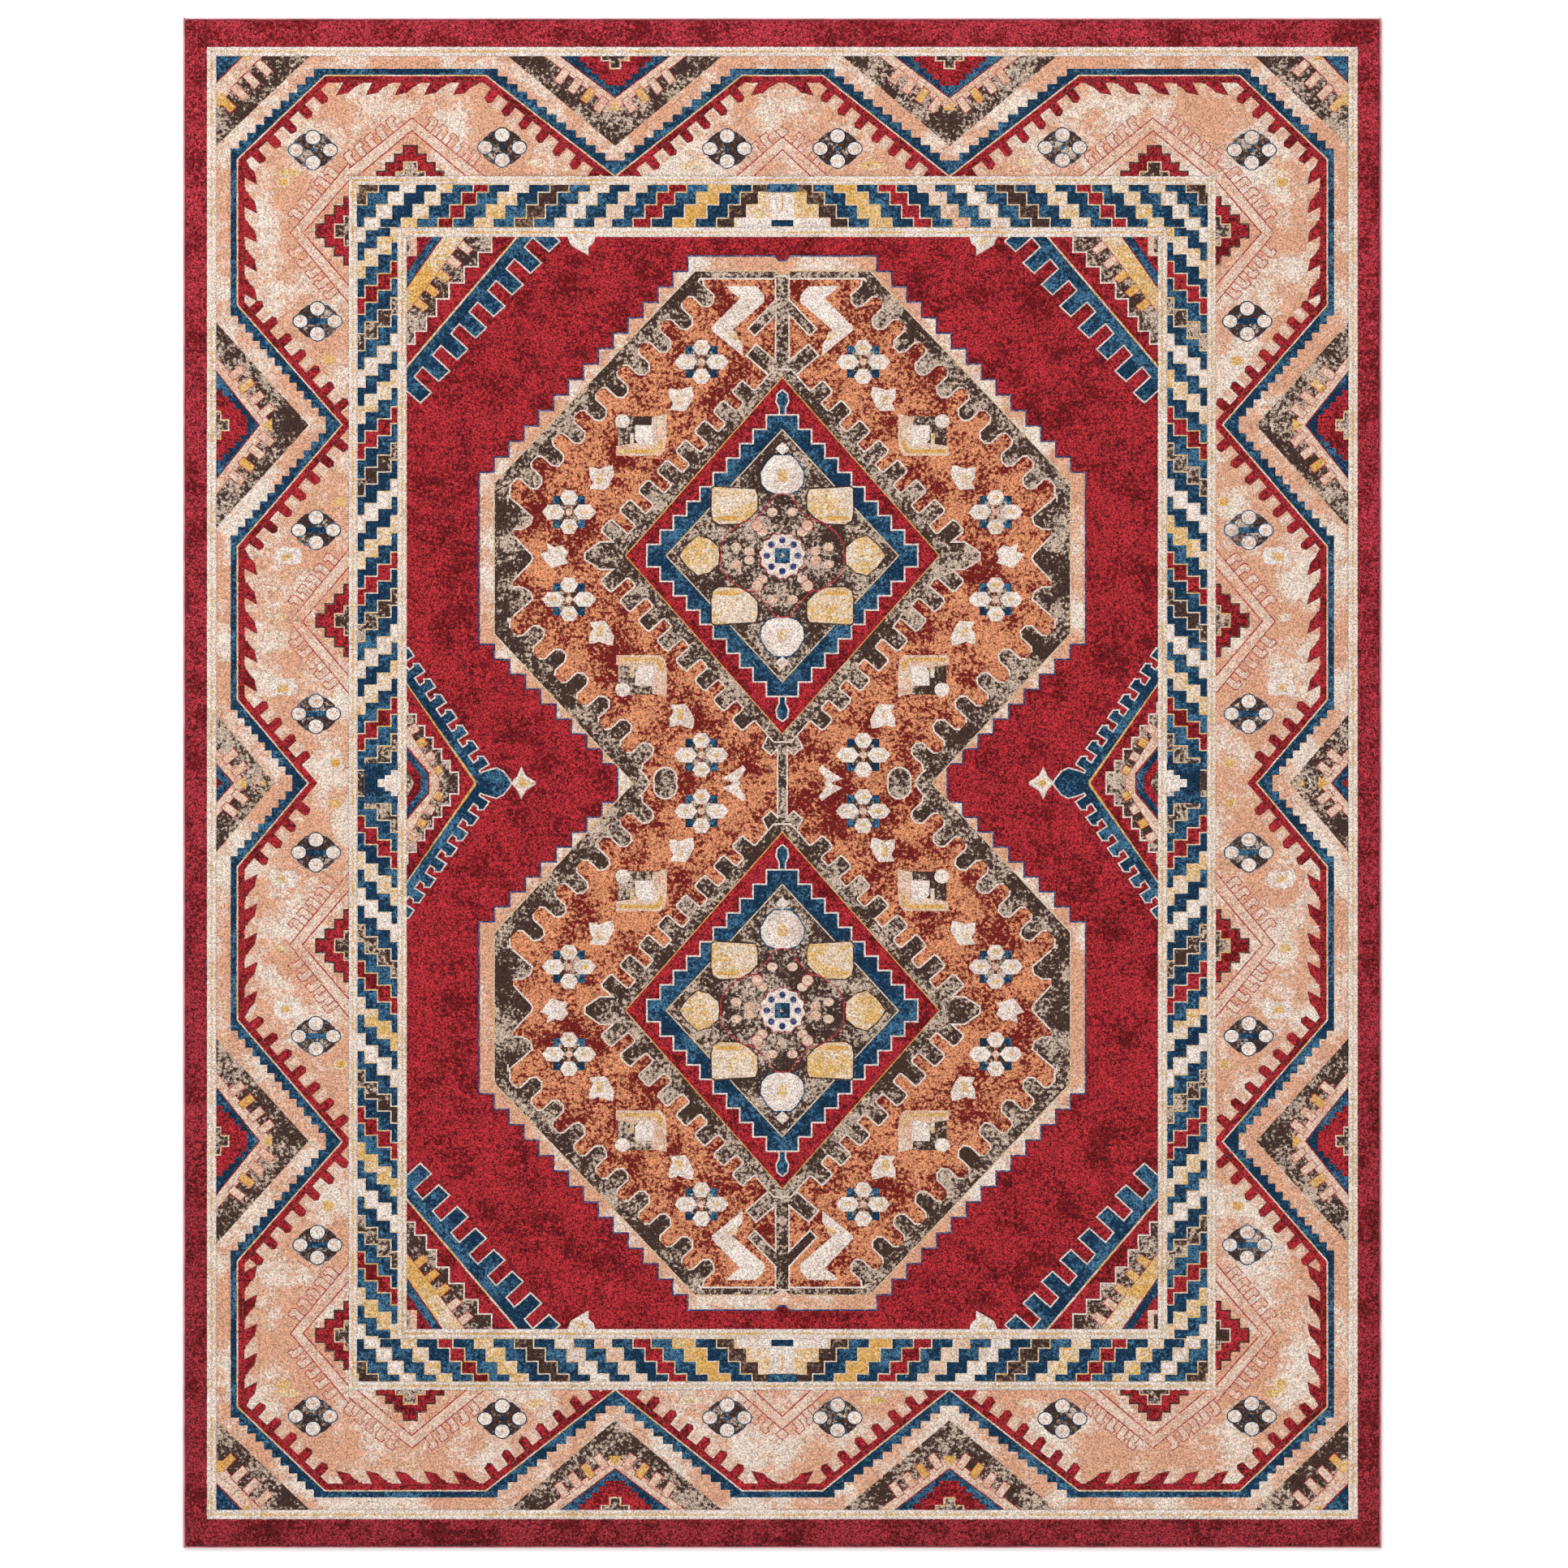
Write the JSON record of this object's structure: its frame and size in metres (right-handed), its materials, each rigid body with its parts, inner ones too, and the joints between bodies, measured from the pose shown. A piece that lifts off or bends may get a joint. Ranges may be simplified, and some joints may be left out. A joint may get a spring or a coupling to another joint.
{
  "type": "area rug",
  "caption": "Rectangular cut-pile area rug with banded border, stepped double medallion, hooked corner pieces, woven ground, sized back and serged edges.",
  "frame": {"origin": "on the floor under the middle of the rug: the centre of the underside", "axes": "+Y along the rug's length, towards the end called top; +X across its width, to the right when seen from above with +Y up; +Z up, out of the pile"},
  "size_m": [2.388, 3.048, 0.0114],
  "materials": {
    "back_size": "thin dried size brushed over the back, matte",
    "ground_weave": "plain jute and cotton weave, matte",
    "edge_cord": "bundled natural cords, matte",
    "serging": "coral pink overcast yarn, matte",
    "edge_band": "cut pile, crimson with maroon mottling",
    "outer_guard": "cut pile, ivory with a gold line",
    "main_border": "cut pile, peach and ivory ground with crimson, blue and brown figures",
    "inner_guard": "cut pile, ivory with a gold line",
    "stepped_guard": "cut pile, slanted stairs in navy, ivory, crimson, gold and brown",
    "inner_stripe": "cut pile, ivory with a gold line",
    "field": "cut pile, crimson with maroon mottling",
    "medallion": "cut pile, rust orange mottled with maroon, brown hooked bands, ivory flowers",
    "diamond": "cut pile, crimson with a blue stepped diamond and ivory petals",
    "corner_piece": "cut pile, blue hooked band on crimson",
    "pendant": "cut pile, blue hooked point on crimson"
  },
  "bodies": {
    "root": {"back_size": "back_size", "corner_piece_lower_left": "corner_piece", "corner_piece_lower_right": "corner_piece", "corner_piece_upper_left": "corner_piece", "corner_piece_upper_right": "corner_piece", "diamond_lower": "diamond", "diamond_upper": "diamond", "edge_band_bottom": "edge_band", "edge_band_left": "edge_band", "edge_band_right": "edge_band", "edge_band_top": "edge_band", "edge_cord_bottom": "edge_cord", "edge_cord_left": "edge_cord", "edge_cord_right": "edge_cord", "edge_cord_top": "edge_cord", "field": "field", "ground_weave": "ground_weave", "inner_guard_bottom": "inner_guard", "inner_guard_left": "inner_guard", "inner_guard_right": "inner_guard", "inner_guard_top": "inner_guard", "inner_stripe_bottom": "inner_stripe", "inner_stripe_left": "inner_stripe", "inner_stripe_right": "inner_stripe", "inner_stripe_top": "inner_stripe", "main_border_bottom": "main_border", "main_border_left": "main_border", "main_border_right": "main_border", "main_border_top": "main_border", "medallion_lower": "medallion", "medallion_upper": "medallion", "outer_guard_bottom": "outer_guard", "outer_guard_left": "outer_guard", "outer_guard_right": "outer_guard", "outer_guard_top": "outer_guard", "pendant_left": "pendant", "pendant_right": "pendant", "serging_bottom": "serging", "serging_left": "serging", "serging_right": "serging", "serging_top": "serging", "stepped_guard_bottom": "stepped_guard", "stepped_guard_left": "stepped_guard", "stepped_guard_right": "stepped_guard", "stepped_guard_top": "stepped_guard"}
  },
  "joints": []
}
